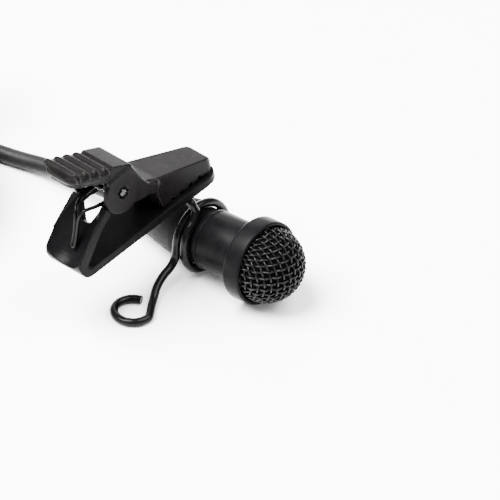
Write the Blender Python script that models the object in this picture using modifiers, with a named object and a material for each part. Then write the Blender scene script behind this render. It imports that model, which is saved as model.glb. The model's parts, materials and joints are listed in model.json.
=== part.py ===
"""Lavalier microphone in a coiled wire holder with a spring clip, cable and plug.

Run it with: blender --background --python part.py

Sizes are in millimetres and are turned into metres by MM. Two frames are used.
The microphone frame has its origin in the middle of the windscreen's front rim:
"back" runs from there along the microphone towards its cable, "out" runs towards
the clip's heel, and "up" runs towards the clip. The microphone lies on a table on
its front ring, its wire holder and the holder's finger loop, so that frame is
tipped a little. The table frame has +Z up and the table at z = 0.
"""
import math

import bmesh
import bpy
from mathutils import Matrix, Vector

MM = 0.001
MERGE = 1e-6                 # merge distance in metres, far below any real edge
FINE = 48                    # sides of a turned piece that shows
COARSE = 24                  # sides of a small or hidden turned piece
GAP = 0.05                   # clearance between pieces that touch

# Microphone: places along the axis and radii
RING_LENGTH = 2.26
RING_R = 4.70
RING_BORE_R = 4.32
MESH_R = 4.25
MESH_THICK = 0.25
FOAM_THICK = 0.65
BODY_R = 3.35
BODY_BORE_R = 2.62
BODY_END = 7.25
SPIGOT_R = 3.00
LIP_END = 7.90
NECK_R = 3.15
NECK_END = 10.15
BOOT_R = 3.40
BOOT_END = 22.0
BOOT_TIP_R = 1.40
CAPSULE_FRONT = 1.45
CAPSULE_R = 2.25
CAPSULE_LENGTH = 2.30

# Wire holder
HOLDER_WIRE = 0.86
HOLDER_COIL_R = 3.66         # middle of the wire
HOLDER_FIRST_TURN = 8.55     # back, at the start of the turns
HOLDER_PITCH = 1.09
LOOP_BACK = 9.35             # the finger loop's centre
LOOP_OUT = 11.30
LOOP_R = 2.02

# Swivel: the post through the clip's plate. The clip sits turned and tipped on it.
SWIVEL_BACK = 11.20
SWIVEL_OUT = 1.50
SWIVEL_UP = 5.90             # the plate's underside
CLIP_YAW = -4.8
CLIP_ROLL = 8.7

# Clip, in the microphone frame's directions before that turn
CLIP_WIDTH = 5.40
CLIP_NEAR = SWIVEL_BACK - CLIP_WIDTH / 2
CLIP_FAR = SWIVEL_BACK + CLIP_WIDTH / 2
PLATE_THICK = 1.0
PLATE_TOP = SWIVEL_UP + PLATE_THICK
TIP_OUT = -2.90
WALL_TOP = (12.30, 12.70)    # out, up of the finger wall's outer top edge
PIN_OUT = 10.04
PIN_UP = 13.05
PIN_R = 0.42
EAR_R = 2.45
EAR_THICK = 0.60
JAW_TAPER = 0.18             # how fast the jaw narrows towards its tip
SPRING_WIRE = 0.45

# Cable and plug
CABLE_D = 1.84
COIL_TURNS_WIDE = 4
COIL_LAYERS = 4
COIL_MEAN_R = 6.0 * CABLE_D

# The holder's coil and the ring's back edge both touch the table.
HOLDER_OUTER_R = HOLDER_COIL_R + HOLDER_WIRE / 2
HOLDER_LOWEST_BACK = HOLDER_FIRST_TURN + HOLDER_PITCH * 0.43
TILT = math.atan((RING_R - HOLDER_OUTER_R) / (HOLDER_LOWEST_BACK - RING_LENGTH))
AXIS_HEIGHT = RING_LENGTH * math.sin(TILT) + RING_R * math.cos(TILT)

COLOURS = {
    "black_metal": ((0.020, 0.020, 0.021), 0.45, 0.0),
    "black_mesh": ((0.030, 0.030, 0.031), 0.40, 0.6),
    "black_plastic": ((0.014, 0.014, 0.016), 0.22, 0.0),
    "black_wire": ((0.016, 0.015, 0.016), 0.30, 0.0),
    "rubber": ((0.030, 0.030, 0.031), 0.75, 0.0),
    "cable_jacket": ((0.028, 0.026, 0.027), 0.60, 0.0),
    "foam": ((0.012, 0.012, 0.012), 0.95, 0.0),
    "steel": ((0.55, 0.55, 0.56), 0.30, 1.0),
    "aluminium": ((0.70, 0.70, 0.71), 0.35, 1.0),
    "brass": ((0.72, 0.52, 0.22), 0.30, 1.0),
    "insulator": ((0.85, 0.84, 0.80), 0.50, 0.0),
    "circuit_board": ((0.03, 0.18, 0.07), 0.50, 0.0),
}


def material(name):
    """Return the named plain material, making it once."""
    if name in bpy.data.materials:
        return bpy.data.materials[name]
    colour, roughness, metallic = COLOURS[name]
    made = bpy.data.materials.new(name)
    made.use_nodes = True
    shader = made.node_tree.nodes["Principled BSDF"]
    shader.inputs["Base Color"].default_value = (*colour, 1.0)
    shader.inputs["Roughness"].default_value = roughness
    shader.inputs["Metallic"].default_value = metallic
    made.diffuse_color = (*colour, 1.0)
    return made


def collection(name):
    """Return a new collection in the scene."""
    made = bpy.data.collections.new(name)
    bpy.context.scene.collection.children.link(made)
    return made


AXIS_FRAMES = {}             # each axis empty's matrix in the microphone frame


def axis_empty(name, parent, matrix, in_microphone=None):
    """Add a guide empty on a joint's axis. Its matrix is in its parent's frame."""
    made = bpy.data.objects.new(name, None)
    made.empty_display_size = 2 * MM
    PARTS.objects.link(made)
    made.parent = parent
    made.matrix_local = matrix
    AXIS_FRAMES[name] = in_microphone or Matrix()
    return made


def place(obj, parent, matrix, material_name, target=None):
    """Link an object, give it its material and hang it on its parent.

    The matrix is in the microphone frame, or in the table frame under ROOT.
    """
    (target or PARTS).objects.link(obj)
    if material_name:
        obj.data.materials.append(material(material_name))
    obj.parent = parent
    obj.matrix_local = AXIS_FRAMES[parent.name].inverted() @ (matrix or Matrix())
    return obj


def at(back, out, up):
    """A point of the microphone frame: X forward, Y towards the clip's tip, Z up."""
    return Vector((-back, -out, up)) * MM


def turned(name, profile, material_name, parent, matrix=None, sides=COARSE):
    """A turned piece. The profile's (back, radius) points run down its outer side.

    A profile that starts and ends on the axis is solid; any other is closed to a ring.
    """
    mesh = bpy.data.meshes.new(name)
    verts = [(r * MM, 0.0, -back * MM) for back, r in profile]
    edges = [(i, i + 1) for i in range(len(verts) - 1)]
    if profile[0][1] > 0:
        edges.append((len(verts) - 1, 0))
    mesh.from_pydata(verts, edges, [])
    obj = bpy.data.objects.new(name, mesh)
    along_axis = Matrix.Rotation(math.radians(90), 4, "Y")
    place(obj, parent, (matrix or Matrix()) @ along_axis, material_name)
    screw = obj.modifiers.new("Turn", "SCREW")
    screw.steps = sides
    screw.render_steps = sides
    screw.use_merge_vertices = True
    screw.merge_threshold = MERGE
    screw.use_smooth_shade = True
    weld = obj.modifiers.new("Weld", "WELD")
    weld.merge_threshold = MERGE
    return obj


def tube_through(name, points, diameter, material_name, parent, matrix=None):
    """A round wire or cable through the given points, with closed ends."""
    curve = bpy.data.curves.new(name, "CURVE")
    curve.dimensions = "3D"
    curve.bevel_depth = diameter / 2 * MM
    curve.bevel_resolution = 2
    curve.use_fill_caps = True
    curve.twist_mode = "MINIMUM"
    spline = curve.splines.new("POLY")
    spline.points.add(len(points) - 1)
    for spot, point in zip(spline.points, points):
        spot.co = (*point, 1.0)
    return place(bpy.data.objects.new(name, curve), parent, matrix, material_name)


def smooth_path(points, spacing):
    """Points a given distance apart on a smooth curve through the given points."""
    ends = [points[0] * 2 - points[1], *points, points[-1] * 2 - points[-2]]
    dense = []
    for p0, p1, p2, p3 in zip(ends, ends[1:], ends[2:], ends[3:]):
        for i in range(24):
            t = i / 24
            dense.append(0.5 * (2 * p1 + (p2 - p0) * t + (2 * p0 - 5 * p1 + 4 * p2 - p3) * t ** 2
                                + (3 * p1 - p0 - 3 * p2 + p3) * t ** 3))
    dense.append(points[-1])
    lengths = [0.0]
    for a, b in zip(dense, dense[1:]):
        lengths.append(lengths[-1] + (b - a).length)
    count = max(2, round(lengths[-1] / spacing))
    result = []
    j = 0
    for i in range(count + 1):
        goal = lengths[-1] * i / count
        while j < len(dense) - 2 and lengths[j + 1] < goal:
            j += 1
        step = max(lengths[j + 1] - lengths[j], 1e-12)
        result.append(dense[j].lerp(dense[j + 1], (goal - lengths[j]) / step))
    return result


def rounded(corners, steps=4):
    """The outline through (x, y, radius) corners, each rounded by its radius."""
    points = []
    for i, (x, y, radius) in enumerate(corners):
        corner = Vector((x, y))
        to_last = (Vector(corners[i - 1][:2]) - corner).normalized()
        to_next = (Vector(corners[(i + 1) % len(corners)][:2]) - corner).normalized()
        if radius <= 0:
            points.append((x, y))
            continue
        half = to_last.angle(to_next) / 2
        middle = corner + (to_last + to_next).normalized() * radius / math.sin(half)
        first = corner + to_last * radius / math.tan(half) - middle
        last = corner + to_next * radius / math.tan(half) - middle
        turn = first.angle_signed(last)
        for k in range(steps + 1):
            spoke = Matrix.Rotation(-turn * k / steps, 2) @ first
            points.append(tuple(middle + spoke))
    return points


# Side frame of the clip: its X is out, its Y is up and its Z is back.
SIDE = Matrix(((0, 0, -1, 0), (-1, 0, 0, 0), (0, 1, 0, 0), (0, 0, 0, 1)))


def slab(name, outline, low, high, material_name, parent, matrix=SIDE, target=None):
    """A flat outline made as thick as the space between low and high along its Z."""
    curve = bpy.data.curves.new(name, "CURVE")
    curve.dimensions = "2D"
    curve.fill_mode = "BOTH"
    curve.extrude = (high - low) / 2 * MM
    spline = curve.splines.new("POLY")
    spline.points.add(len(outline) - 1)
    for spot, (x, y) in zip(spline.points, outline):
        spot.co = (x * MM, y * MM, 0.0, 1.0)
    spline.use_cyclic_u = True
    flat = bpy.data.objects.new(name + "_outline", curve)
    bpy.context.scene.collection.objects.link(flat)
    evaluated = flat.evaluated_get(bpy.context.evaluated_depsgraph_get())
    mesh = bpy.data.meshes.new_from_object(evaluated)
    bpy.data.objects.remove(flat)
    mesh.transform(Matrix.Translation((0, 0, (low + high) / 2 * MM)))
    shape = bmesh.new()
    shape.from_mesh(mesh)
    bmesh.ops.remove_doubles(shape, verts=shape.verts, dist=MERGE)
    bmesh.ops.recalc_face_normals(shape, faces=shape.faces)
    shape.to_mesh(mesh)
    shape.free()
    mesh.name = name
    mesh.materials.clear()
    return place(bpy.data.objects.new(name, mesh), parent, matrix, material_name, target)


def rod(name, radius, low, high, material_name, parent, matrix, sides=COARSE, target=None):
    """A plain cylinder along its own Z between low and high."""
    mesh = bpy.data.meshes.new(name)
    shape = bmesh.new()
    bmesh.ops.create_cone(shape, cap_ends=True, segments=sides, radius1=radius * MM,
                          radius2=radius * MM, depth=(high - low) * MM,
                          matrix=Matrix.Translation((0, 0, (low + high) / 2 * MM)))
    shape.to_mesh(mesh)
    shape.free()
    return place(bpy.data.objects.new(name, mesh), parent, matrix, material_name, target)


def block(name, low, high, material_name, parent, matrix=None, target=None):
    """A box between two corners."""
    size = Vector(high) - Vector(low)
    middle = (Vector(high) + Vector(low)) / 2
    mesh = bpy.data.meshes.new(name)
    shape = bmesh.new()
    spread = Matrix.Translation(middle * MM) @ Matrix.Diagonal((*(size * MM), 1.0))
    bmesh.ops.create_cube(shape, size=1.0, matrix=spread)
    shape.to_mesh(mesh)
    shape.free()
    return place(bpy.data.objects.new(name, mesh), parent, matrix, material_name, target)


def combine(obj, other, operation):
    """Cut a hidden shape from an object, or join it on."""
    other.hide_render = True
    other.display_type = "WIRE"
    step = obj.modifiers.new(other.name, "BOOLEAN")
    step.operation = operation
    step.solver = "EXACT"
    step.object = other


# --- microphone -------------------------------------------------------------


def dome(radius, back_end, steps):
    """Outer profile of a dome: from its pole back to its rim, then straight."""
    quarter = [(-radius * math.cos(math.radians(90 * i / steps)),
                radius * math.sin(math.radians(90 * i / steps))) for i in range(steps + 1)]
    return quarter + [(back_end, radius)]


def dome_shell(name, radius, thickness, back_end, material_name, steps=10, sides=FINE):
    outer = dome(radius, back_end, steps)
    inner = dome(radius - thickness, back_end, steps)
    profile = outer + inner[::-1]
    return turned(name, profile, material_name, MIC, sides=sides)


def make_windscreen():
    dome_shell("windscreen_mesh", MESH_R, MESH_THICK, 1.55, "black_mesh")
    foam_r = MESH_R - MESH_THICK - GAP
    dome_shell("windscreen_foam", foam_r, FOAM_THICK, 1.25, "foam", steps=6, sides=COARSE)
    edge = 0.18
    ring = [(0.0, RING_R - 0.22), (edge, RING_R), (RING_LENGTH - 0.35, RING_R),
            (RING_LENGTH, RING_R - 0.35), (RING_LENGTH, SPIGOT_R + GAP),
            (1.62, SPIGOT_R + GAP), (1.62, RING_BORE_R), (0.0, RING_BORE_R)]
    turned("grille_ring", ring, "black_metal", MIC, sides=FINE)


def make_housing():
    front = RING_LENGTH + GAP
    profile = [(1.35, SPIGOT_R), (front, SPIGOT_R), (front, BODY_R - 0.1), (front + 0.1, BODY_R),
               (BODY_END - 0.06, BODY_R), (BODY_END, BODY_R - 0.06), (BODY_END, BODY_BORE_R),
               (1.35, BODY_BORE_R)]
    turned("housing", profile, "black_metal", MIC, sides=FINE)
    plug_r = BODY_BORE_R - GAP
    rear = [(5.9, plug_r), (BODY_END + GAP, plug_r), (BODY_END + GAP, BODY_R - 0.08),
            (BODY_END + 0.13, BODY_R), (LIP_END - 0.15, BODY_R), (LIP_END, BODY_R - 0.12),
            (LIP_END, NECK_R), (NECK_END, NECK_R), (NECK_END, 1.95), (5.9, 1.95)]
    turned("rear_cap", rear, "black_metal", MIC, sides=FINE)


def make_capsule():
    """The electret capsule and the rubber sleeve that holds it in the housing."""
    front, r = CAPSULE_FRONT, CAPSULE_R
    back = front + CAPSULE_LENGTH
    can = [(front, 0.45), (front, r - 0.12), (front + 0.12, r), (back, r), (back, r - 0.15),
           (front + 0.2, r - 0.15), (front + 0.2, 0.45)]
    turned("capsule_can", can, "aluminium", MIC)
    sleeve = [(front - 0.05, BODY_BORE_R - GAP), (back + 0.5, BODY_BORE_R - GAP),
              (back + 0.5, r + GAP), (front - 0.05, r + GAP)]
    turned("capsule_sleeve", sleeve, "rubber", MIC)
    inside = r - 0.15 - GAP
    film = front + 0.2 + GAP
    diaphragm = [(film, 0.0), (film, inside), (film + 0.30, inside), (film + 0.30, inside - 0.35),
                 (film + 0.06, inside - 0.35), (film + 0.06, 0.0)]
    turned("diaphragm", diaphragm, "steel", MIC)
    seat = film + 0.30 + GAP
    holder = [(seat, inside), (seat + 1.15, inside), (seat + 1.15, inside - 0.3),
              (seat + 0.45, inside - 0.3), (seat + 0.45, inside - 0.55), (seat, inside - 0.55)]
    turned("backplate_holder", holder, "insulator", MIC)
    plate = [(seat, 0.18), (seat, inside - 0.6), (seat + 0.3, inside - 0.6), (seat + 0.3, 0.18)]
    turned("backplate", plate, "brass", MIC)
    board_front = seat + 1.15 + GAP
    board = [(board_front, 0.0), (board_front, inside), (board_front + 0.25, inside),
             (board_front + 0.25, 0.0)]
    turned("capsule_board", board, "circuit_board", MIC)
    chip_low = at(board_front - GAP, 0.55, -0.3) / MM
    chip_high = at(board_front - GAP - 0.45, -0.55, 0.3) / MM
    block("fet_chip", chip_low, chip_high, "black_plastic", MIC)
    return board_front + 0.25


def make_cable_entry(board_back):
    """The two leads, the crimp that grips the cable and the rubber strain relief."""
    for name, side in (("signal_lead", 1), ("ground_lead", -1)):
        route = [at(board_back + GAP, 0.5 * side, 0), at(board_back + 0.8, 0.6 * side, 0.1 * side),
                 at(6.2, 0.75 * side, 0.2 * side), at(7.4, 0.5 * side, 0), at(8.2, 0.42 * side, 0)]
        wire = smooth_path(route, 0.35 * MM)
        tube_through(name, wire, 0.32, "brass", MIC)
    crimp = [(8.0, 1.62), (9.9, 1.62), (9.9, 0.98), (8.0, 0.98)]
    turned("cable_crimp", crimp, "brass", MIC, sides=20)
    core = [(8.4, 0.0), (8.4, 0.9), (18.4, 0.9), (18.4, 0.0)]
    turned("inner_cable", core, "cable_jacket", MIC, sides=16)
    boot = [(NECK_END + GAP, 1.75), (NECK_END + GAP, BOOT_R - 0.2), (NECK_END + 0.25, BOOT_R),
            (11.2, BOOT_R - 0.02), (11.9, 3.26), (13.8, 2.91), (15.2, 2.60)]
    for start, r in ((15.4, 2.54), (16.9, 2.22), (18.4, 1.92), (19.9, 1.68)):
        boot += [(start, r), (start + 0.9, r - 0.04), (start + 1.0, r - 0.34), (start + 1.4, r - 0.38)]
    boot += [(21.4, BOOT_TIP_R), (BOOT_END, BOOT_TIP_R - 0.1), (BOOT_END, 1.0), (NECK_END + GAP, 1.0)]
    turned("strain_relief", boot, "rubber", MIC, sides=32)


# --- wire holder --------------------------------------------------------------


def swivel_matrix():
    """The clip plate's frame at the swivel: its Z is the swivel's axis."""
    yaw = Matrix.Rotation(math.radians(CLIP_YAW), 4, "Z")
    roll = Matrix.Rotation(math.radians(CLIP_ROLL), 4, "X")
    return Matrix.Translation(at(SWIVEL_BACK, SWIVEL_OUT, SWIVEL_UP)) @ yaw @ roll


def on_post(forward, height):
    """A point near the swivel: forward of its axis, and above the plate's underside."""
    return swivel_matrix() @ (Vector((forward, 0, height)) * MM)


def make_wire_holder():
    """One spring wire: a post through the clip, turns round the neck, a finger loop."""
    bend_r = 0.75
    run = -(HOLDER_WIRE / 2 + 0.18)
    front = SWIVEL_BACK - HOLDER_FIRST_TURN - 0.15
    corner = bend_r * (1 - math.cos(math.radians(45)))
    post = [on_post(0, PLATE_THICK + 0.66), on_post(0, PLATE_THICK), on_post(0, run + bend_r),
            on_post(corner, run + corner), on_post(bend_r, run), on_post(front - bend_r, run),
            on_post(front - corner, run - corner), on_post(front, run - bend_r)]
    kink = at(HOLDER_FIRST_TURN + 0.05, 1.36, 4.12)
    start = 32.0
    sweep = 448.0 - start
    steps = 28
    turns = []
    for i in range(steps + 1):
        angle = start + sweep * i / steps
        a = math.radians(angle)
        back = HOLDER_FIRST_TURN + HOLDER_PITCH * max(0.0, angle - 80) / 360
        turns.append(at(back, HOLDER_COIL_R * math.sin(a), HOLDER_COIL_R * math.cos(a)))
    tail = [at(9.78, 3.86, -1.00), at(9.78, 4.60, -1.80), at(9.70, 5.95, -2.22),
            at(9.40, 7.35, -2.75), at(8.90, 8.45, -3.32),
            at(8.30, 9.50, table_up(8.30) + HOLDER_WIRE / 2 + 0.08)]
    loop = []
    for i in range(19):
        a = math.radians(190 - 14.7 * i)
        back = LOOP_BACK + LOOP_R * math.cos(a)
        out = LOOP_OUT + LOOP_R * math.sin(a)
        loop.append(at(back, out, table_up(back) + HOLDER_WIRE / 2))
    route = smooth_path([*post, kink, *turns, *tail, *loop], 0.60 * MM)
    return tube_through("wire_holder", route, HOLDER_WIRE, "black_wire", HOLDER)


def make_swivel_cap():
    """The pressed-on washer that keeps the post in the plate."""
    cap = [(-0.62, HOLDER_WIRE / 2 + 0.04), (-0.62, 0.85), (-0.45, 1.05), (-0.06, 1.05),
           (-0.06, HOLDER_WIRE / 2 + 0.04)]
    upright = Matrix.Rotation(math.radians(-90), 4, "Y")
    on_plate = swivel_matrix() @ Matrix.Translation((0, 0, PLATE_THICK * MM))
    turned("swivel_cap", cap, "steel", HOLDER, on_plate @ upright, sides=20)


def table_up(back):
    """Where the table is in the microphone frame, below the axis at "back"."""
    return -RING_R + (back - RING_LENGTH) * math.tan(TILT)


# --- clip ---------------------------------------------------------------------

PIN = (PIN_OUT, PIN_UP)


def offset_path(path, distance):
    """The path moved sideways by a distance, with mitred corners."""
    moved = []
    for i, (x, y) in enumerate(path):
        here = Vector((x, y))
        before = (here - Vector(path[i - 1])).normalized() if i else None
        after = (Vector(path[i + 1]) - here).normalized() if i < len(path) - 1 else None
        run_in, run_out = before or after, after or before
        side_in = Vector((-run_in.y, run_in.x))
        side_out = Vector((-run_out.y, run_out.x))
        mitre = (side_in + side_out).normalized()
        moved.append(tuple(here + mitre * distance / mitre.dot(side_in)))
    return moved


def at_pin(low=0.0):
    """A cylinder frame on the pin's axis."""
    return SIDE @ Matrix.Translation(Vector((*PIN, low)) * MM)


def make_clip_base():
    """A V-shaped strip: the plate under the jaw, and the scooped finger wall behind it."""
    outside = [(TIP_OUT, SWIVEL_UP), (17.25, SWIVEL_UP), (18.05, 8.10), (16.05, 10.20), WALL_TOP]
    inside = offset_path(outside, PLATE_THICK)
    corners = [(*p, r) for p, r in zip(outside, (0.35, 1.3, 1.5, 2.2, 0.35))]
    corners += [(*p, r) for p, r in list(zip(inside, (0.35, 0.5, 0.6, 1.3, 0.35)))[::-1]]
    base = slab("clip_base", rounded(corners), CLIP_NEAR, CLIP_FAR, "black_metal", CLIP)
    # The wall's scoop: a half pipe sunk into the wall, as thick as the wall itself.
    floor_start, floor_end = Vector((12.15, 12.1)), Vector((16.2, 7.8))
    lean = math.atan2(floor_end.y - floor_start.y, floor_end.x - floor_start.x)
    scoop_r = 3.1
    outward = Vector((-(floor_end - floor_start).y, (floor_end - floor_start).x)).normalized()
    centre = floor_start + outward * scoop_r
    pipe_frame = SIDE @ Matrix.Translation(Vector((*centre, SWIVEL_BACK)) * MM) \
        @ Matrix.Rotation(lean, 4, "Z") @ Matrix.Rotation(math.radians(90), 4, "Y")
    length = (floor_end - floor_start).length
    back_r = scoop_r + 0.9
    backing = rod("scoop_backing", back_r, 0.5, length + 1.1, None, CLIP, pipe_frame, 56, CUTTERS)
    behind = [(12.0, 12.4, 0), (10.5, 10.0, 0), (14.0, PLATE_TOP - 0.5, 0), (16.9, PLATE_TOP - 0.5, 0),
              (17.3, 8.2, 0), (15.6, 10.0, 0)]
    limits = slab("scoop_limits", rounded(behind), CLIP_NEAR + 0.02, CLIP_FAR - 0.02, None, CLIP,
                  SIDE, CUTTERS)
    combine(backing, limits, "INTERSECT")
    combine(base, backing, "UNION")
    scoop = rod("scoop", scoop_r, -3.0, length - 0.1, None, CLIP, pipe_frame, 56, CUTTERS)
    cup = dome_cutter("scoop_end", scoop_r, pipe_frame @ Matrix.Translation((0, 0, (length - 0.15) * MM)))
    combine(base, scoop, "DIFFERENCE")
    combine(base, cup, "DIFFERENCE")
    ear = [(8.7, 12.6, 0.3), (9.6, 11.5, 0.3), (11.6, 11.2, 0.3), (13.2, 10.9, 0.1),
           (12.4, 12.0, 0.1), (11.2, 13.7, 0.3)]
    inset = EAR_THICK + 0.02
    for name, low in (("near", CLIP_NEAR + inset), ("far", CLIP_FAR - inset - 0.4)):
        web = slab("ear_web_" + name, rounded(ear), low, low + 0.4, None, CLIP, target=CUTTERS)
        disc = rod("ear_disc_" + name, 1.55, low - 0.01, low + 0.41, None, CLIP, at_pin(),
                   target=CUTTERS)
        combine(base, web, "UNION")
        combine(base, disc, "UNION")
    notch_frame = SIDE @ Matrix.Translation(Vector((*WALL_TOP, SWIVEL_BACK)) * MM) \
        @ Matrix.Rotation(lean, 4, "Z") @ Matrix.Rotation(math.radians(90), 4, "X")
    notch_outline = [(-1.2, -1.85, 0), (0.9, -1.60, 0.5), (2.75, -0.60, 0.55), (2.75, 0.60, 0.55),
                     (0.9, 1.60, 0.5), (-1.2, 1.85, 0)]
    notch = slab("spring_notch", rounded(notch_outline), -2.6, 2.6, None, CLIP, notch_frame, CUTTERS)
    combine(base, notch, "DIFFERENCE")
    for name, low in (("near", CLIP_NEAR - 1.0), ("far", CLIP_FAR - EAR_THICK)):
        relief = rod("ear_relief_" + name, EAR_R + 0.10, low, low + 1.0 + EAR_THICK, None, CLIP,
                     at_pin(), 40, CUTTERS)
        combine(base, relief, "DIFFERENCE")
    hole = rod("pin_hole_base", PIN_R + GAP, CLIP_NEAR, CLIP_FAR, None, CLIP, at_pin(), target=CUTTERS)
    combine(base, hole, "DIFFERENCE")
    post_hole = rod("post_hole", HOLDER_WIRE / 2 + GAP + 0.03, -1.0, 2.0, None, CLIP,
                    Matrix.Translation(at(SWIVEL_BACK, SWIVEL_OUT, SWIVEL_UP)), target=CUTTERS)
    combine(base, post_hole, "DIFFERENCE")
    cut_tip_corners(base)
    return base


def dome_cutter(name, radius, matrix):
    """A ball that rounds off the end of a round cutter."""
    mesh = bpy.data.meshes.new(name)
    shape = bmesh.new()
    bmesh.ops.create_uvsphere(shape, u_segments=40, v_segments=20, radius=radius * MM)
    shape.to_mesh(mesh)
    shape.free()
    return place(bpy.data.objects.new(name, mesh), CLIP, matrix, None, CUTTERS)


# Seen from above, an outline's X is out and its Y is back, and its Z is down.
ABOVE = Matrix(((0, -1, 0, 0), (-1, 0, 0, 0), (0, 0, -1, 0), (0, 0, 0, 1)))


def corner_cutter(name, out, edge, side, along, radius, down_low, down_high, parent):
    """A cutter that rounds one corner of a plate, seen from above.

    The corner is at (out, edge). "side" points from the edge into the plate, and
    "along" from the corner's end into the plate.
    """
    middle = (out + along * radius, edge + side * radius)
    curve = [(middle[0] - along * radius * math.sin(math.radians(15 * i)),
              middle[1] - side * radius * math.cos(math.radians(15 * i))) for i in range(7)]
    outline = [(middle[0], edge - side), *curve, (out - along, middle[1]), (out - along, edge - side)]
    return slab(name, outline, -down_high, -down_low, None, parent, ABOVE, CUTTERS)


def cut_tip_corners(base):
    for name, edge, side in (("near", CLIP_NEAR, 1), ("far", CLIP_FAR, -1)):
        cutter = corner_cutter("tip_corner_" + name, TIP_OUT, edge, side, 1, 1.8, 4.0, 8.6, CLIP)
        combine(base, cutter, "DIFFERENCE")


def jaw_taper(name, edge):
    """A cutter that slants the jaw's far side in from "edge" towards the tip."""
    rear, front, beyond = 5.1, -3.2, CLIP_FAR + 1
    outline = [(rear + 1, beyond), (rear + 1, edge), (rear, edge),
               (front, edge - JAW_TAPER * (rear - front)), (front, beyond)]
    return slab(name, outline, -12.5, -4.0, None, LEVER, ABOVE, CUTTERS)


def make_lever():
    """The upper jaw: a ribbed thumb pad, two ears round the pin and a hollow toothed jaw."""
    seat = PLATE_TOP + 0.12
    pad_low, pad_high = CLIP_NEAR + 0.20, CLIP_FAR - 0.20
    ribs = [(10.35, 16.75, 0.1)]
    for i in range(4):
        out, up = 10.45 + 1.25 * i, 16.72 + 0.62 * i
        ribs += [(out + 0.05, up - 0.20, 0.0), (out + 1.05, up + 0.52, 0.12)]
    pad = [(8.0, 15.55, 0.5), *ribs, (15.75, 18.95, 0.5), (15.95, 17.9, 0.6), (15.0, 17.3, 0.5),
           (11.5, 15.35, 0.3), (10.2, 15.0, 0.3), (8.2, 14.2, 0.2), (7.3, 11.2, 0.3),
           (5.5, 10.0, 0.2), (4.9, 10.4, 0.1), (5.10, 11.15, 0.15), (6.4, 11.75, 0.5), (7.2, 13.0, 0.9)]
    lever = slab("clip_lever", rounded(pad, 3), pad_low, pad_high, "black_plastic", LEVER)
    jaw = [(5.10, 11.20, 0.12), (-2.25, 8.78, 0.45), (-2.60, seat + 0.9, 0.3), (-1.8, seat, 0.3),
           (5.15, seat, 0.1), (5.62, 9.9, 0.3), (7.2, 10.5, 0.3), (7.6, 11.6, 0.2), (6.6, 12.0, 0.3)]
    jaw_low, jaw_high = CLIP_NEAR + 0.50, CLIP_FAR - 0.10
    jaw_tip_high = jaw_high - JAW_TAPER * (5.1 + 1.3)
    jaw_box = slab("jaw_box", rounded(jaw, 3), jaw_low, jaw_high, None, LEVER, SIDE, CUTTERS)
    combine(jaw_box, jaw_taper("jaw_taper", jaw_high), "DIFFERENCE")
    for name, edge, side, round_r in (("near", jaw_low, 1, 0.9), ("far", jaw_tip_high, -1, 1.3)):
        cutter = corner_cutter("jaw_corner_" + name, -2.61, edge, side, 1, round_r, 4.0, 12.0, LEVER)
        combine(jaw_box, cutter, "DIFFERENCE")
    for name, edge, side in (("near", pad_low, 1), ("far", pad_high, -1)):
        round_end = corner_cutter("pad_corner_" + name, 15.95, edge, side, -1, 1.5, 14.0, 22.0, LEVER)
        combine(lever, round_end, "DIFFERENCE")
    combine(lever, jaw_box, "UNION")
    web = [(8.2, 15.5, 0.3), (11.5, 15.4, 0.3), (12.1, 13.2, 0), (8.6, 10.7, 0.2), (7.0, 10.45, 0.3),
           (5.6, 9.9, 0.2), (5.2, 11.0, 0.2), (6.5, 11.8, 0.5), (7.2, 13.0, 0.8)]
    for name, low in (("near", CLIP_NEAR - 0.05), ("far", CLIP_FAR + 0.05 - EAR_THICK)):
        disc = rod("lever_ear_" + name, EAR_R, low, low + EAR_THICK, None, LEVER, at_pin(), 40, CUTTERS)
        combine(lever, disc, "UNION")
        side_web = slab("lever_web_" + name, rounded(web, 3), low + 0.03, low + EAR_THICK - 0.03,
                        None, LEVER, SIDE, CUTTERS)
        combine(lever, side_web, "UNION")
    inside = [(4.6, 10.15, 0.2), (-1.45, 8.10, 0.3), (-1.45, 5.0, 0), (4.6, 5.0, 0)]
    hollow = slab("jaw_hollow", rounded(inside, 3), jaw_low + 0.75, jaw_high - 0.75, None,
                  LEVER, SIDE, CUTTERS)
    combine(hollow, jaw_taper("hollow_taper", jaw_high - 0.60), "DIFFERENCE")
    combine(lever, hollow, "DIFFERENCE")
    room = rod("spring_room", 1.72, CLIP_NEAR - 0.05 + EAR_THICK, CLIP_FAR + 0.05 - EAR_THICK, None,
               LEVER, at_pin(), 40, CUTTERS)
    combine(lever, room, "DIFFERENCE")
    hole = rod("pin_hole_lever", PIN_R + GAP, CLIP_NEAR - 1, CLIP_FAR + 1, None, LEVER, at_pin(),
               target=CUTTERS)
    combine(lever, hole, "DIFFERENCE")
    for i in range(4):
        out = -0.4 + 1.35 * i
        tooth = [(out - 0.28, seat - 0.3, 0), (out, seat + 0.55, 0), (out + 0.5, seat - 0.3, 0)]
        gap = slab(f"tooth_gap_{i}", rounded(tooth), CLIP_NEAR, CLIP_FAR, None, LEVER, SIDE, CUTTERS)
        combine(lever, gap, "DIFFERENCE")
    return lever


def make_pin():
    rod("pivot_pin", PIN_R, CLIP_NEAR - 0.12, CLIP_FAR + 0.12, "steel", CLIP, at_pin(), sides=20)


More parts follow.
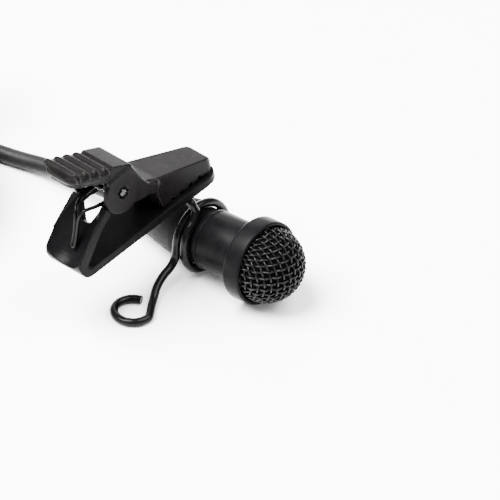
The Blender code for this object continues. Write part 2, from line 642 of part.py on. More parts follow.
def make_spring():
    """A double torsion spring: a hairpin on the finger wall, two coils, two legs on the pad."""
    coil_r = PIN_R + 0.12 + SPRING_WIRE / 2
    pitch = SPRING_WIRE + 0.03
    first, last = 123.0, 271.1 + 720.0
    half = [(13.35, 15.95, 0.36), (11.6, 14.75, 0.34)]
    steps = 30
    for i in range(steps + 1):
        angle = first + (last - first) * i / steps
        a = math.radians(angle)
        along = 0.33 + pitch * (angle - first) / 360
        half.append((PIN_OUT + coil_r * math.cos(a), PIN_UP + coil_r * math.sin(a), along))
    half += [(11.4, 12.34, 1.42), (12.8, 12.42, 1.22), (13.85, 12.40, 0.74), (14.45, 12.05, 0.42),
             (14.85, 11.30, 0.29), (15.27, 10.20, 0.28), (15.78, 9.05, 0.28)]
    bend = [(16.02, 8.60, 0.22), (16.10, 8.46, 0.0), (16.02, 8.60, -0.22)]
    near = [at(SWIVEL_BACK - along, out, up) for out, up, along in half]
    far = [at(SWIVEL_BACK + along, out, up) for out, up, along in half]
    tip = [at(SWIVEL_BACK - along, out, up) for out, up, along in bend]
    tube_through("torsion_spring", [*near, *tip, *far[::-1]], SPRING_WIRE, "black_wire", CLIP)


# --- cable, coil and plug -----------------------------------------------------

CABLE_R = CABLE_D / 2
TURN_PITCH = CABLE_D * 1.02
COIL_LIFT = 0.35             # the tie runs under the coil
COIL_OUTER_TURN_R = COIL_MEAN_R + (COIL_TURNS_WIDE - 1) / 2 * TURN_PITCH
COIL_OUTER_R = COIL_OUTER_TURN_R + CABLE_R
COIL_INNER_R = COIL_MEAN_R - (COIL_TURNS_WIDE - 1) / 2 * TURN_PITCH - CABLE_R
COIL_TOP = COIL_LIFT + CABLE_D + (COIL_LAYERS - 1) * TURN_PITCH
COIL_X = -44.5
COIL_Y = -18.0
LEAD_ANGLE = math.radians(110)       # where on the coil the lead comes in
COIL_CLEARANCE = 7.6         # how far from the tangent point a straight run clears the coil
TAIL_X = COIL_X - COIL_OUTER_TURN_R
TAIL_TOP = COIL_TOP - CABLE_R
PLUG_R = 3.20
PLUG_START = COIL_Y - 16.8   # y of the strain relief's mouth
PLUG_Z = COIL_TOP + PLUG_R + 0.02
BEND_R = 5.5                 # the tail's turn back over the coil
PLUG_X = TAIL_X + 2 * BEND_R


def lead_route():
    """The cable's way from the strain relief down to the table and to the coil."""
    def on_axis(back):
        return Vector((-back * math.cos(TILT), 0.0, AXIS_HEIGHT - back * math.sin(TILT)))
    rest = CABLE_R + 0.03
    radial = Vector((math.cos(LEAD_ANGLE), math.sin(LEAD_ANGLE), 0))
    tangent = Vector((-radial.y, radial.x, 0))
    middle = Vector((COIL_X, COIL_Y, COIL_LIFT + rest))
    end = middle + radial * COIL_OUTER_TURN_R - tangent * COIL_CLEARANCE
    points = [on_axis(18.75), on_axis(BOOT_END), on_axis(24.5)]
    points += [Vector((-28.2, 0.12, 2.05)), Vector((-32.1, -0.05, 1.42)),
               Vector((-35.2, -0.55, rest + 0.05)), Vector((-38.0, -1.20, rest)), end]
    return [p * MM for p in points]


def tail_route():
    """The cable's end, from the coil's top layer round and up into the plug."""
    start, bend_y = COIL_Y - COIL_CLEARANCE, PLUG_START - 1.0
    points = [Vector((TAIL_X, start, TAIL_TOP - 0.1)), Vector((TAIL_X, start - 4.5, TAIL_TOP - 0.05)),
              Vector((TAIL_X, bend_y + 2.0, TAIL_TOP))]
    for i in range(7):
        a, part = math.pi * i / 6, i / 6
        height = TAIL_TOP + (PLUG_Z - TAIL_TOP) * part * part * (3 - 2 * part)
        points.append(Vector((TAIL_X + BEND_R * (1 - math.cos(a)), bend_y - BEND_R * math.sin(a), height)))
    points += [Vector((PLUG_X, PLUG_START - 0.1, PLUG_Z)), Vector((PLUG_X, PLUG_START + 1.2, PLUG_Z))]
    return [p * MM for p in points]


def make_cable():
    tube_through("cable_lead", smooth_path(lead_route(), 2.4 * CABLE_D / 4 * MM), CABLE_D,
                 "cable_jacket", ROOT)
    tube_through("cable_tail", smooth_path(tail_route(), 2.4 * CABLE_D / 4 * MM), CABLE_D,
                 "cable_jacket", ROOT)
    upright = Matrix.Translation(Vector((COIL_X, COIL_Y, 0)) * MM) \
        @ Matrix.Rotation(math.radians(-90), 4, "Y")
    r = CABLE_R * 0.6
    coil = [(-COIL_TOP, COIL_INNER_R + r), (-COIL_TOP, COIL_OUTER_R - r), (-COIL_TOP + r, COIL_OUTER_R),
            (-COIL_LIFT - r, COIL_OUTER_R), (-COIL_LIFT, COIL_OUTER_R - r), (-COIL_LIFT, COIL_INNER_R + r),
            (-COIL_LIFT - r, COIL_INNER_R), (-COIL_TOP + r, COIL_INNER_R)]
    turned("cable_coil", coil, "cable_jacket", ROOT, upright, sides=FINE)


def make_tie():
    """A flat tie round the coil's bundle."""
    angle = math.radians(330)
    radial = Vector((math.cos(angle), math.sin(angle), 0))
    frame = Matrix.Identity(4)
    frame.col[0].xyz = radial
    frame.col[1].xyz = Vector((0, 0, 1))
    frame.col[2].xyz = radial.cross(Vector((0, 0, 1)))
    frame.translation = Vector((COIL_X, COIL_Y, 0)) * MM
    low, high, thick = COIL_INNER_R - 0.28, COIL_OUTER_R + 0.08, 0.30
    outer = [(low - thick, 0.01, 0.7), (high + thick, 0.01, 0.7),
             (high + thick, COIL_TOP + 0.08 + thick, 0.7), (low - thick, COIL_TOP + 0.08 + thick, 0.7)]
    inner = [(low, COIL_LIFT - 0.04, 0.4), (high, COIL_LIFT - 0.04, 0.4), (high, COIL_TOP + 0.08, 0.4),
             (low, COIL_TOP + 0.08, 0.4)]
    tie = slab("cable_tie", rounded(outer), -1.6, 1.6, "cable_jacket", ROOT, frame)
    combine(tie, slab("tie_inside", rounded(inner), -2.5, 2.5, None, ROOT, frame, CUTTERS), "DIFFERENCE")


def make_plug():
    """A 3.5 mm stereo plug lying across the top of the coil."""
    frame = Matrix.Translation(Vector((PLUG_X, PLUG_START, PLUG_Z)) * MM) \
        @ Matrix.Rotation(math.radians(-90), 4, "Z")
    relief = [(0.0, CABLE_R + 0.10), (0.0, 1.45), (8.4, 2.05), (8.4, 1.60), (2.0, CABLE_R + 0.10)]
    turned("plug_strain_relief", relief, "rubber", ROOT, frame)
    shell = [(8.5, 0.9), (8.5, 2.30), (9.2, 2.9), (10.0, PLUG_R), (24.0, PLUG_R), (24.8, 2.9),
             (24.8, 1.85), (9.8, 1.85), (9.8, 0.9)]
    turned("plug_shell", shell, "black_metal", ROOT, frame, sides=32)
    sleeve = [(22.0, 1.0), (22.0, 1.78), (24.9, 1.78), (24.9, 2.55), (25.7, 2.55), (25.7, 1.75),
              (32.0, 1.75), (32.0, 1.0)]
    turned("plug_sleeve", sleeve, "brass", ROOT, frame)
    for name, start in (("plug_rear_insulator", 32.05), ("plug_front_insulator", 35.25)):
        band = [(start, 0.95), (start, 1.72), (start + 0.8, 1.72), (start + 0.8, 0.95)]
        turned(name, band, "insulator", ROOT, frame)
    ring = [(32.90, 0.95), (32.90, 1.75), (35.20, 1.75), (35.20, 0.95)]
    turned("plug_ring", ring, "brass", ROOT, frame)
    tip = [(22.0, 0.0), (22.0, 0.85), (36.10, 0.85), (36.10, 1.75), (37.2, 1.75), (37.9, 1.15),
           (38.5, 1.35), (39.6, 0.55), (39.9, 0.0)]
    turned("plug_tip", tip, "brass", ROOT, frame)


# --- assembly -----------------------------------------------------------------

CORD_NODES = ("cable_lead", "cable_tail", "cable_coil", "cable_tie", "plug_strain_relief",
              "plug_shell", "plug_sleeve", "plug_rear_insulator", "plug_front_insulator",
              "plug_ring", "plug_tip")


def centre_on_origin():
    """Slide the whole assembly so that the microphone and clip stand on the origin."""
    bpy.context.view_layer.update()
    depsgraph = bpy.context.evaluated_depsgraph_get()
    low, high = Vector((1, 1, 1)), Vector((-1, -1, -1))
    for obj in PARTS.objects:
        if obj.type == "EMPTY" or obj.name in CORD_NODES:
            continue
        mesh = obj.evaluated_get(depsgraph).to_mesh()
        for vertex in mesh.vertices:
            point = obj.matrix_world @ vertex.co
            low = Vector(map(min, low, point))
            high = Vector(map(max, high, point))
    ROOT.location = (-(low.x + high.x) / 2, -(low.y + high.y) / 2, -low.z)


for leftover in list(bpy.data.objects):
    bpy.data.objects.remove(leftover, do_unlink=True)
PARTS = collection("lavalier_microphone")
CUTTERS = collection("cutters")
ROOT = axis_empty("table_frame", None, Matrix())
MIC = axis_empty("microphone_axis", ROOT, Matrix.Translation((0, 0, AXIS_HEIGHT * MM))
                 @ Matrix.Rotation(-TILT, 4, "Y"))
HOLDER = axis_empty("holder_axis", MIC, Matrix())
SWIVEL_POINT = Matrix.Translation(at(SWIVEL_BACK, SWIVEL_OUT, SWIVEL_UP))
CLIP = axis_empty("swivel_axis", HOLDER, swivel_matrix(), SWIVEL_POINT)
LEVER_POINT = Matrix.Translation(at(SWIVEL_BACK, *PIN))
LEVER = axis_empty("lever_axis", CLIP, SWIVEL_POINT.inverted() @ LEVER_POINT, LEVER_POINT)

make_windscreen()
make_housing()
make_cable_entry(make_capsule())
make_wire_holder()
make_swivel_cap()
make_clip_base()
make_lever()
make_pin()
make_spring()
make_cable()
make_tie()
make_plug()
centre_on_origin()
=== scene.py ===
import json
import math

import bmesh
import bpy
from mathutils import Matrix, Vector


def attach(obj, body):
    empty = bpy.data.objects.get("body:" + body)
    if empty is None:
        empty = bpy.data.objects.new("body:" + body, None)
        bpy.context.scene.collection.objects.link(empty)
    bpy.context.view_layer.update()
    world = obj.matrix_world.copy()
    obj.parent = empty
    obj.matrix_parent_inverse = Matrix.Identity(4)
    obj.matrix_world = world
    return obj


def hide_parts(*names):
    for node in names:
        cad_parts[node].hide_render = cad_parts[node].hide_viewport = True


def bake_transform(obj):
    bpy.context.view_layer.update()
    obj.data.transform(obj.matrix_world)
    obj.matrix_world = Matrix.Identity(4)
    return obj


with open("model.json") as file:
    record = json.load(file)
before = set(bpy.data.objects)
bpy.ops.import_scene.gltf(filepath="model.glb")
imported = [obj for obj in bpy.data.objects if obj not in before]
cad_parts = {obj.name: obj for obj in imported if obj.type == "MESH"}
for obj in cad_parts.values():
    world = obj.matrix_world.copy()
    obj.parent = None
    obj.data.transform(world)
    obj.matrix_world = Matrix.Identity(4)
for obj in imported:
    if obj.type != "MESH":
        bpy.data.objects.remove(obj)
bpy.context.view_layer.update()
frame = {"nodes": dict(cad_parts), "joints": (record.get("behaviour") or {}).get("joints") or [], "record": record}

MM = 0.001
JOINTS = {joint["name"]: joint for joint in frame["joints"]}


def frame_of(origin, x_axis, z_axis):
    """A matrix with the given origin, X axis and (roughly) Z axis."""
    x = Vector(x_axis).normalized()
    y = Vector(z_axis).cross(x).normalized()
    made = Matrix.Identity(4)
    for column, axis in enumerate((x, y, x.cross(y))):
        made.col[column].xyz = axis
    made.translation = Vector(origin)
    return made


HOLDER_JOINT, SWIVEL_JOINT, OPEN_JOINT = (JOINTS[n] for n in ("holder_turn", "clip_swivel", "clip_open"))
MIC = frame_of(HOLDER_JOINT["pos_m"], HOLDER_JOINT["axis"], (0, 0, 1))
CLIP = frame_of(SWIVEL_JOINT["pos_m"], OPEN_JOINT["axis"], SWIVEL_JOINT["axis"])
TILT = math.asin(HOLDER_JOINT["axis"][2])
RIM = MIC.translation / MM               # the middle of the windscreen's front rim

# Camera: its distance and the picture's width where it looks are in metres
AZIMUTH, ELEVATION = math.radians(41.8), math.radians(38.4)
LOOK_FROM_RIM = Vector((-6.85, 5.00, -4.68))
CAMERA_DISTANCE = 1.3
PICTURE_WIDTH = 0.0536
SENSOR = 36.0

# Microphone
RING_LENGTH, RING_R, RING_BORE_R = 2.26, 4.70, 4.32
WEAVE_R = 4.03                           # the middle of the woven layer
WEAVE_WIRE = 0.21
WEAVE_PITCH = 0.72
WEAVE_TURN = math.radians(-2.0)
WEAVE_REACH = 11                         # wires on each side of the middle one
WEAVE_LOWEST = -math.sin(math.radians(9))  # the weave ends 9 degrees behind the ball's widest circle
BODY_R, BODY_END, LIP_END, NECK_R, NECK_END = 3.35, 7.25, 7.90, 3.15, 10.15
BOOT_R, BOOT_END, BOOT_TIP_R = 3.40, 22.0, 1.40

# Wire holder, with its coating, and clip
HOLDER_WIRE, HOLDER_COIL_R, HOLDER_FIRST_TURN, HOLDER_PITCH = 0.95, 3.66, 8.55, 1.09
LOOP_BACK, LOOP_OUT, LOOP_R = 9.35, 11.30, 2.02
SWIVEL_BACK, SWIVEL_OUT, SWIVEL_UP = 11.20, 1.50, 5.90
CLIP_WIDTH = 5.40
PIN_OUT, PIN_UP, PIN_R = 10.04, 13.05, 0.42
SPRING_WIRE = 0.42

# Cable
CABLE_D = 1.84
CABLE_R = CABLE_D / 2
TURN_PITCH = CABLE_D * 1.02
COIL_TURNS_WIDE, COIL_LAYERS, COIL_MEAN_R, COIL_LIFT = 4, 4, 6.0 * CABLE_D, 0.35
COIL_OUTER_TURN_R = COIL_MEAN_R + (COIL_TURNS_WIDE - 1) / 2 * TURN_PITCH
COIL_X, COIL_Y = -44.5, -18.0            # from the point on the table under the rim
LEAD_ANGLE, TAIL_ANGLE = 110.0, 180.0
COIL_CLEARANCE = 7.6
PLUG_R = 3.20
COIL_TOP = COIL_LIFT + CABLE_D + (COIL_LAYERS - 1) * TURN_PITCH
TAIL_X = COIL_X - COIL_OUTER_TURN_R
BEND_R = 5.5                             # the tail's turn back over the coil
PLUG_X, PLUG_START, PLUG_Z = TAIL_X + 2 * BEND_R, COIL_Y - 16.8, COIL_TOP + PLUG_R + 0.02


# --- geometry helpers -----------------------------------------------------------


def link(obj):
    bpy.context.scene.collection.objects.link(obj)
    return obj


def mesh_object(name, shape):
    """A new smooth-shaded object from a bmesh, which is freed."""
    mesh = bpy.data.meshes.new(name)
    shape.to_mesh(mesh)
    shape.free()
    mesh.shade_smooth()
    return link(bpy.data.objects.new(name, mesh))


def at(back, out, up):
    """A point of the microphone frame, in metres."""
    return Vector((-back, -out, up)) * MM


def in_mic(back, out, up):
    return MIC @ at(back, out, up)


def in_clip(back, out, up):
    """A point given in the clip's own directions, which start at its swivel."""
    return CLIP @ at(back - SWIVEL_BACK, out - SWIVEL_OUT, up - SWIVEL_UP)


def on_table(x, y, z):
    """A point from the spot on the table under the windscreen's rim."""
    return Vector((RIM.x + x, RIM.y + y, z)) * MM


def with_ends(points):
    """The points with one more at each end, straight on from the last two."""
    return [points[0] * 2 - points[1], *points, points[-1] * 2 - points[-2]]


def curve_point(p0, p1, p2, p3, t):
    """The point at t, from 0 at p1 to 1 at p2, on a smooth curve whose neighbours are p0 and p3."""
    return 0.5 * (2 * p1 + (p2 - p0) * t + (2 * p0 - 5 * p1 + 4 * p2 - p3) * t ** 2
                  + (3 * p1 - p0 - 3 * p2 + p3) * t ** 3)


def smooth_path(points, spacing):
    """Points about a given distance apart on a smooth curve through the given points."""
    steps_each = 24
    ends = with_ends(points)
    dense = []
    for p0, p1, p2, p3 in zip(ends, ends[1:], ends[2:], ends[3:]):
        dense += [curve_point(p0, p1, p2, p3, i / steps_each) for i in range(steps_each)]
    dense.append(points[-1])
    lengths = [0.0]
    for a, b in zip(dense, dense[1:]):
        lengths.append(lengths[-1] + (b - a).length)
    count = max(2, round(lengths[-1] / (spacing * MM)))
    result = []
    j = 0
    for i in range(count + 1):
        goal = lengths[-1] * i / count
        while j < len(dense) - 2 and lengths[j + 1] < goal:
            j += 1
        step = max(lengths[j + 1] - lengths[j], 1e-12)
        result.append(dense[j].lerp(dense[j + 1], (goal - lengths[j]) / step))
    return result


def tube(shape, points, radius, sides, round_ends=False):
    """Adds a closed round tube along the points to a bmesh."""
    runs = [(b - a).normalized() for a, b in zip(points, points[1:])]
    tangents = [runs[0], *[(a + b).normalized() for a, b in zip(runs, runs[1:])], runs[-1]]
    side = tangents[0].orthogonal().normalized()
    stations = list(zip(points, tangents, [1.0] * len(points)))
    if round_ends:
        first, last = stations[0], stations[-1]
        caps = [(math.sin(a), math.cos(a)) for a in (math.radians(25), math.radians(50), math.radians(72))]
        start = [(first[0] - first[1] * radius * s, first[1], c) for s, c in caps]
        end = [(last[0] + last[1] * radius * s, last[1], c) for s, c in caps]
        stations = start[::-1] + stations + end
    rings = []
    for point, tangent, scale in stations:
        side = (side - tangent * side.dot(tangent)).normalized()
        other = tangent.cross(side)
        ring = []
        for k in range(sides):
            a = 2 * math.pi * k / sides
            away = side * math.cos(a) + other * math.sin(a)
            ring.append(shape.verts.new(point + away * radius * scale))
        rings.append(ring)
    for a, b in zip(rings, rings[1:]):
        for k in range(sides):
            shape.faces.new((a[k], a[(k + 1) % sides], b[(k + 1) % sides], b[k]))
    shape.faces.new(rings[0][::-1])
    shape.faces.new(rings[-1])


def wire_object(name, points, diameter, sides=16):
    """A bent wire with cut ends."""
    shape = bmesh.new()
    tube(shape, points, diameter / 2 * MM, sides)
    made = mesh_object(name, shape)
    made.data.set_sharp_from_angle(angle=math.radians(60))
    return made


def rounded(corners, steps=5):
    """The closed outline through (x, y, radius) corners, each rounded by its radius."""
    points = []
    for i, (x, y, radius) in enumerate(corners):
        corner = Vector((x, y))
        if radius <= 0:
            points.append((x, y))
            continue
        to_last = (Vector(corners[i - 1][:2]) - corner).normalized()
        to_next = (Vector(corners[(i + 1) % len(corners)][:2]) - corner).normalized()
        half = to_last.angle(to_next) / 2
        middle = corner + (to_last + to_next).normalized() * radius / math.sin(half)
        first = corner + to_last * radius / math.tan(half) - middle
        last = corner + to_next * radius / math.tan(half) - middle
        turn = first.angle_signed(last)
        for k in range(steps + 1):
            points.append(tuple(middle + Matrix.Rotation(-turn * k / steps, 2) @ first))
    return points


def lathe(name, outline, matrix, sides=128, swell=None):
    """A turned piece from a closed (back, radius) outline. swell(back, angle) adds to the radius."""
    shape = bmesh.new()
    rings = []
    for back, radius in outline:
        if radius < 1e-6:
            rings.append([shape.verts.new(matrix @ (Vector((-back, 0, 0)) * MM))] * sides)
            continue
        ring = []
        for k in range(sides):
            a = 2 * math.pi * k / sides
            r = radius + (swell(back, a) if swell else 0.0)
            ring.append(shape.verts.new(matrix @ (Vector((-back, r * math.cos(a), r * math.sin(a))) * MM)))
        rings.append(ring)
    for a, b in zip(rings, rings[1:] + rings[:1]):
        for k in range(sides):
            corners = [a[k], a[(k + 1) % sides], b[(k + 1) % sides], b[k]]
            unique = [v for i, v in enumerate(corners) if v not in corners[:i]]
            if len(unique) > 2:
                shape.faces.new(unique)
    bmesh.ops.recalc_face_normals(shape, faces=shape.faces)
    made = mesh_object(name, shape)
    made.data.set_sharp_from_angle(angle=math.radians(50))
    return made


def keep_modifiers(obj):
    """Applies an object's modifiers to its mesh."""
    bpy.context.view_layer.update()
    evaluated = obj.evaluated_get(bpy.context.evaluated_depsgraph_get())
    mesh = bpy.data.meshes.new_from_object(evaluated)
    obj.modifiers.clear()
    obj.data = mesh
    return obj


def finished(piece, body, slot, *nodes):
    """Gives a piece its body, material and the CAD nodes it stands for."""
    piece.data.materials.clear()
    piece.data.materials.append(MATERIALS[slot])
    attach(piece, body)
    if nodes:
        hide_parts(*nodes)
    return piece


# --- materials ------------------------------------------------------------------


class Surface:
    """Builds one material's nodes around its Principled shader."""

    def __init__(self, name):
        self.material = bpy.data.materials.new(name)
        self.material.use_nodes = True
        self.nodes = self.material.node_tree.nodes
        self.links = self.material.node_tree.links
        self.shader = self.nodes["Principled BSDF"]
        self.place = self.nodes.new("ShaderNodeTexCoord").outputs["Object"]

    def noise(self, size_mm, detail=3.0, stretch=None):
        """A noise pattern with features of about that size."""
        place = self.place
        if stretch:
            mapping = self.nodes.new("ShaderNodeMapping")
            mapping.inputs["Scale"].default_value = stretch
            self.links.new(place, mapping.inputs["Vector"])
            place = mapping.outputs["Vector"]
        made = self.nodes.new("ShaderNodeTexNoise")
        made.inputs["Scale"].default_value = 1 / (size_mm * MM)
        made.inputs["Detail"].default_value = detail
        self.links.new(place, made.inputs["Vector"])
        return made.outputs["Fac"]

    def cells(self, size_mm):
        made = self.nodes.new("ShaderNodeTexVoronoi")
        made.inputs["Scale"].default_value = 1 / (size_mm * MM)
        self.links.new(self.place, made.inputs["Vector"])
        return made.outputs["Distance"]

    def colours(self, pattern, dark, light, low=0.3, high=0.7):
        ramp = self.nodes.new("ShaderNodeValToRGB")
        ramp.color_ramp.elements[0].position, ramp.color_ramp.elements[1].position = low, high
        ramp.color_ramp.elements[0].color = (*dark, 1)
        ramp.color_ramp.elements[1].color = (*light, 1)
        self.links.new(pattern, ramp.inputs["Fac"])
        return ramp.outputs["Color"]

    def colour(self, output):
        self.links.new(output, self.shader.inputs["Base Color"])

    def specular(self, level):
        self.shader.inputs["Specular IOR Level"].default_value = level

    def roughness(self, pattern, low, high):
        spread = self.nodes.new("ShaderNodeMapRange")
        spread.inputs["From Min"].default_value = 0.3
        spread.inputs["From Max"].default_value = 0.7
        spread.inputs["To Min"].default_value = low
        spread.inputs["To Max"].default_value = high
        self.links.new(pattern, spread.inputs["Value"])
        self.links.new(spread.outputs["Result"], self.shader.inputs["Roughness"])

    def bump(self, pattern, depth_mm, strength=1.0):
        made = self.nodes.new("ShaderNodeBump")
        made.inputs["Strength"].default_value = strength
        made.inputs["Distance"].default_value = depth_mm * MM
        self.links.new(pattern, made.inputs["Height"])
        self.links.new(made.outputs["Normal"], self.shader.inputs["Normal"])


def satin_black(name):
    """Black coated metal with a fine grain."""
    s = Surface(name)
    s.colour(s.colours(s.noise(1.6), (0.0012, 0.0012, 0.0014), (0.0024, 0.0023, 0.0025)))
    s.roughness(s.noise(0.5, 5), 0.30, 0.42)
    s.specular(0.022)
    s.bump(s.noise(0.09, 2), 0.006, 0.5)
    return s.material


def mesh_black(name):
    """The windscreen's coated wires."""
    s = Surface(name)
    s.colour(s.colours(s.noise(0.6), (0.0014, 0.0014, 0.0016), (0.0038, 0.0036, 0.0035)))
    s.specular(0.08)
    s.roughness(s.noise(0.2), 0.16, 0.28)
    s.bump(s.noise(0.05, 2), 0.004, 0.5)
    return s.material


def moulded_black(name):
    """Half-glossy moulded plastic."""
    s = Surface(name)
    s.colour(s.colours(s.noise(2.5), (0.0015, 0.0013, 0.0013), (0.0030, 0.0026, 0.0025)))
    s.roughness(s.noise(0.8, 5), 0.26, 0.38)
    s.specular(0.03)
    s.bump(s.noise(0.12, 3), 0.006, 0.45)
    return s.material


def wire_black(name):
    """Coated spring wire."""
    s = Surface(name)
    s.colour(s.colours(s.noise(1.2, 4), (0.0012, 0.0011, 0.0011), (0.0028, 0.0025, 0.0025)))
    s.roughness(s.noise(0.4, 4), 0.18, 0.28)
    s.specular(0.07)
    s.bump(s.noise(0.16, 3), 0.003, 0.5)
    return s.material


def rubber(name):
    """Matt rubber."""
    s = Surface(name)
    s.colour(s.colours(s.noise(0.9, 5), (0.0030, 0.0030, 0.0032), (0.0060, 0.0059, 0.0061)))
    s.roughness(s.noise(0.3), 0.55, 0.72)
    s.bump(s.noise(0.10, 3), 0.012, 0.5)
    s.specular(0.06)
    return s.material


def jacket(name):
    """Soft plastic."""
    s = Surface(name)
    s.colour(s.colours(s.noise(1.8, 4), (0.0028, 0.0026, 0.0027), (0.0055, 0.0052, 0.0053)))
    s.roughness(s.noise(0.5, 4), 0.42, 0.58)
    s.specular(0.08)
    s.bump(s.noise(0.14, 3), 0.010, 0.5)
    return s.material


def foam(name):
    """Open-celled foam, with painted shade in its pores."""
    s = Surface(name)
    # Painted shade: the colour follows the bump's cells, darker in their hollows (the pores) and lighter on the
    # strands between
    s.colour(s.colours(s.cells(0.22), (0.0003, 0.0003, 0.0003), (0.0012, 0.0012, 0.0012), 0.1, 0.6))
    s.roughness(s.noise(0.3), 0.90, 0.98)
    s.bump(s.cells(0.22), 0.10, 0.8)
    s.specular(0.01)
    return s.material


def metal(name, dark, light, low, high, stretch=None):
    """Bare metal between two colours and two roughnesses, brushed one way by "stretch"."""
    s = Surface(name)
    s.colour(s.colours(s.noise(0.7, 4), dark, light))
    s.shader.inputs["Metallic"].default_value = 1.0
    s.roughness(s.noise(0.3, 5, stretch), low, high)
    s.bump(s.noise(0.08, 3, stretch), 0.004, 0.4)
    return s.material


def insulator(name):
    """Off-white plastic."""
    s = Surface(name)
    s.colour(s.colours(s.noise(0.8), (0.70, 0.69, 0.65), (0.84, 0.83, 0.79)))
    s.roughness(s.noise(0.4), 0.42, 0.55)
    s.bump(s.noise(0.15), 0.006, 0.4)
    return s.material


def circuit_board(name):
    """The capsule's green board."""
    s = Surface(name)
    s.colour(s.colours(s.noise(0.4, 2), (0.015, 0.11, 0.045), (0.03, 0.19, 0.07)))
    s.roughness(s.noise(0.3), 0.35, 0.50)
    s.bump(s.noise(0.2), 0.008, 0.5)
    return s.material


def table_top(name):
    """The plain white table."""
    s = Surface(name)
    s.colour(s.colours(s.noise(30.0), (0.93, 0.93, 0.93), (0.96, 0.96, 0.96)))
    s.roughness(s.noise(10.0), 0.55, 0.60)
    return s.material


def make_materials():
    """The material of each of the record's slots."""
    return {
        "steel": metal("steel", (0.022, 0.022, 0.023), (0.040, 0.040, 0.042), 0.24, 0.38),
        "aluminium": metal("aluminium", (0.62, 0.62, 0.63), (0.76, 0.76, 0.77), 0.28, 0.42),
        "brass": metal("brass", (0.62, 0.43, 0.16), (0.78, 0.58, 0.27), 0.16, 0.28, (1, 6, 1)),
        "black_metal": satin_black("satin_black"),
        "black_mesh": mesh_black("mesh_black"),
        "black_plastic": moulded_black("moulded_black"),
        "black_wire": wire_black("wire_black"),
        "rubber": rubber("rubber"),
        "cable_jacket": jacket("cable_jacket"),
        "foam": foam("foam"),
        "insulator": insulator("insulator"),
        "circuit_board": circuit_board("circuit_board"),
    }


MATERIALS = make_materials()


def dress_cad_nodes():
    """Every CAD node gets its slot's material; the ones replaced below don't show."""
    for entry in frame["record"]["subparts"]:
        node = frame["nodes"][entry["node"]]
        node.data.materials.clear()
        node.data.materials.append(MATERIALS[entry["material_slot"]])
        node.data.shade_smooth()
        node.data.set_sharp_from_angle(angle=math.radians(35))


# --- camera, floor and light ----------------------------------------------------


def make_camera():
    back = Vector((math.sin(AZIMUTH) * math.cos(ELEVATION), -math.cos(AZIMUTH) * math.cos(ELEVATION),
                   math.sin(ELEVATION)))
    look = (RIM + LOOK_FROM_RIM) * MM
    camera = link(bpy.data.objects.new("camera", bpy.data.cameras.new("camera")))
    camera.location = look + back * CAMERA_DISTANCE
    camera.rotation_euler = back.to_track_quat("Z", "Y").to_euler()
    camera.data.sensor_width = SENSOR
    camera.data.lens = SENSOR * CAMERA_DISTANCE / PICTURE_WIDTH
    camera.data.clip_end = 20
    bpy.context.scene.camera = camera
    return look


def make_stage():
    shape = bmesh.new()
    bmesh.ops.create_grid(shape, x_segments=1, y_segments=1, size=3.0)
    floor = mesh_object("floor", shape)
    floor.data.materials.append(table_top("table_top"))


def area_light(name, azimuth, elevation, distance, size, power, target):
    """A square soft light, placed by its direction from the target."""
    a, e = math.radians(azimuth), math.radians(elevation)
    away = Vector((math.sin(a) * math.cos(e), -math.cos(a) * math.cos(e), math.sin(e)))
    light = link(bpy.data.objects.new(name, bpy.data.lights.new(name, "AREA")))
    light.data.size = size
    light.data.energy = power
    light.location = target + away * distance
    light.rotation_euler = away.to_track_quat("Z", "Y").to_euler()


def make_lights(target):
    area_light("left", azimuth=318, elevation=64, distance=0.9, size=0.6, power=95, target=target)
    area_light("right", azimuth=128, elevation=60, distance=0.9, size=0.6, power=20, target=target)
    area_light("rear", azimuth=222, elevation=26, distance=1.0, size=0.45, power=4.5, target=target)
    world = bpy.data.worlds.new("studio")
    world.use_nodes = True
    world.node_tree.nodes["Background"].inputs["Color"].default_value = (1, 1, 1, 1)
    world.node_tree.nodes["Background"].inputs["Strength"].default_value = 1.0
    bpy.context.scene.world = world


# --- cable ----------------------------------------------------------------------


def lead_route():
    """The cable's way from the strain relief down to the table and to the coil."""
    rest = CABLE_R + 0.03                    # the axis's height where the cable lies on the table
    a = math.radians(LEAD_ANGLE)
    radial = Vector((math.cos(a), math.sin(a), 0))
    tangent = Vector((-radial.y, radial.x, 0))
    end = Vector((COIL_X, COIL_Y, COIL_LIFT + rest)) + radial * COIL_OUTER_TURN_R \
        - tangent * COIL_CLEARANCE
    down = [(-28.2, 0.12, 2.05), (-32.1, -0.05, 1.42), (-35.2, -0.55, rest + 0.05), (-38.0, -1.20, rest),
            tuple(end)]
    route = [in_mic(BOOT_END - 0.6, 0, 0), in_mic(24.5, 0, 0)] + [on_table(*p) for p in down]
    return smooth_path(route, 0.9)


def coil_route():
    """The wound turns: layers run in and out in turn, each step made in the last part of a turn."""
    step_zone = 70.0                         # degrees that the cable takes to move over one turn
    degrees_each = 6
    lowest = COIL_LIFT + CABLE_R + 0.01
    turns = COIL_TURNS_WIDE * COIL_LAYERS
    total = int(turns * 360 + TAIL_ANGLE - LEAD_ANGLE)
    points = []
    for angle in range(0, total + 1, degrees_each):
        turn = min(angle // 360, turns - 1)
        part = (angle - turn * 360 - (360 - step_zone)) / step_zone
        ease = min(max(part, 0.0), 1.0) if turn < turns - 1 else 0.0
        ease = ease * ease * (3 - 2 * ease)
        layer, place = divmod(turn, COIL_TURNS_WIDE)
        inward = 1 if layer % 2 == 0 else -1
        ring = place if inward == 1 else COIL_TURNS_WIDE - 1 - place
        changes_layer = place == COIL_TURNS_WIDE - 1
        radius = COIL_OUTER_TURN_R - TURN_PITCH * (ring + (0 if changes_layer else inward * ease))
        height = lowest + TURN_PITCH * (layer + (ease if changes_layer else 0))
        a = math.radians(LEAD_ANGLE + angle)
        points.append(on_table(COIL_X + radius * math.cos(a), COIL_Y + radius * math.sin(a), height))
    return points


